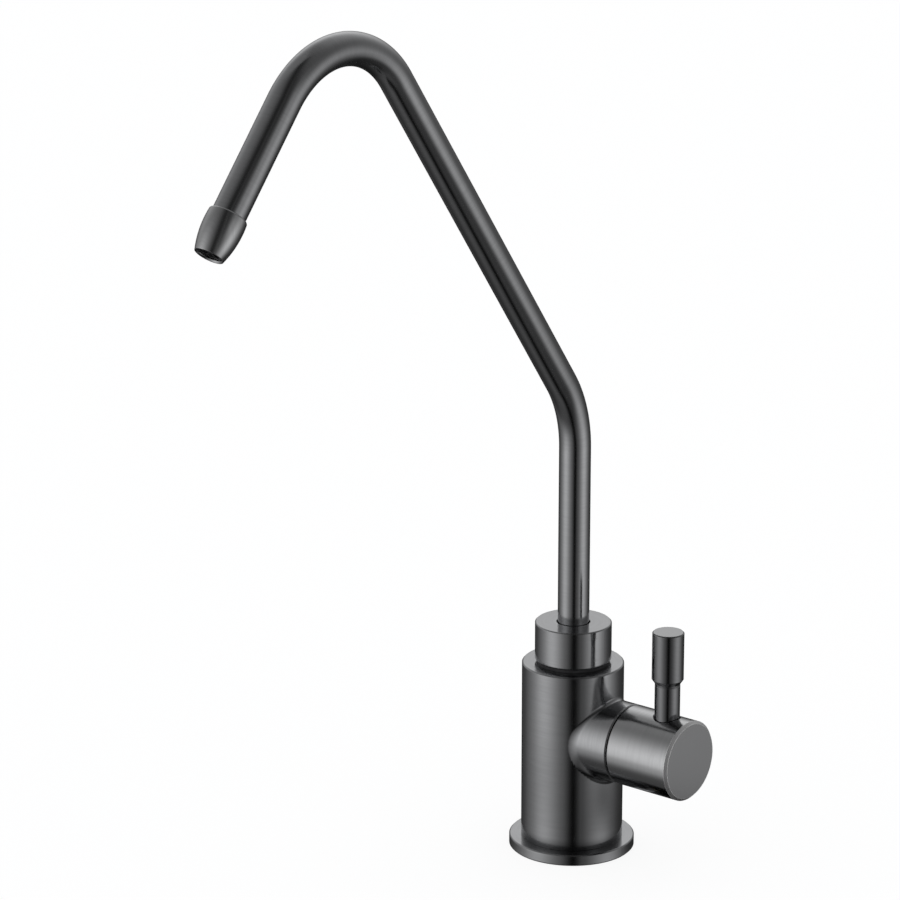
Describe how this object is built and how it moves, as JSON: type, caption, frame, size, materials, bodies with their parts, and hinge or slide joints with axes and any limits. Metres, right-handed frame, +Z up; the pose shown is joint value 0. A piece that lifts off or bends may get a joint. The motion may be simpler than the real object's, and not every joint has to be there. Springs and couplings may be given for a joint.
{
  "type": "drinking water filter tap",
  "caption": "Slim deck-mounted drinking water tap in dark satin metal, with a swivelling bent tube spout, a barrel nozzle and a quarter-turn side lever on a blended branch.",
  "frame": {"origin": "on the body's axis at the worktop's upper face, which the base flange stands on", "axes": "+Z up along the body, spout pointing along -Y, side branch and handle along +X"},
  "size_m": [0.0662, 0.1904, 0.3415],
  "materials": {
    "gunmetal": "satin gunmetal coat",
    "gunmetal_steel": "satin gunmetal coat",
    "bare_brass": "machined",
    "black_rubber": "matte",
    "fibre": "pressed fibre",
    "white_plastic": "moulded",
    "black_plastic": "moulded",
    "ceramic": "lapped",
    "steel": "bright"
  },
  "bodies": {
    "tap_body": {"valve_body": "gunmetal", "base_flange": "gunmetal", "base_seal": "black_rubber", "shank": "bare_brass", "shank_o_ring": "black_rubber", "collar_nut": "gunmetal", "collar_ring": "black_rubber", "lower_slide_washer": "white_plastic", "upper_slide_washer": "white_plastic", "cartridge_housing": "bare_brass", "cartridge_gasket": "fibre", "seat_seal": "black_rubber", "fixed_disc": "ceramic", "thrust_washer": "white_plastic"},
    "handle": {"spindle": "bare_brass", "spindle_o_rings": "black_rubber", "moving_disc": "ceramic", "spindle_clip": "steel", "handle_drum": "gunmetal", "lever": "gunmetal_steel", "grub_screw": "steel"},
    "spout": {"spout_tube": "gunmetal_steel", "spout_bush": "bare_brass", "spout_o_rings": "black_rubber", "nozzle": "gunmetal", "flow_straightener": "black_plastic"},
    "deck_fixing": {"deck_gasket": "black_rubber", "deck_washer": "steel", "lock_washer": "steel", "fixing_nut": "bare_brass"}
  },
  "joints": [
    {"name": "spout_swivel", "type": "hinge", "parent": "tap_body", "child": "spout", "pos_m": [0, 0, 0.07], "axis": [0, 0, 1], "continuous": true},
    {"name": "handle_turn", "type": "hinge", "parent": "tap_body", "child": "handle", "pos_m": [0, 0, 0.0392], "axis": [1, 0, 0], "range_deg": [0, 90]},
    {"name": "fixing_travel", "type": "slide", "parent": "tap_body", "child": "deck_fixing", "axis": [0, 0, 1], "range_m": [-0.05, 0.0285]}
  ]
}
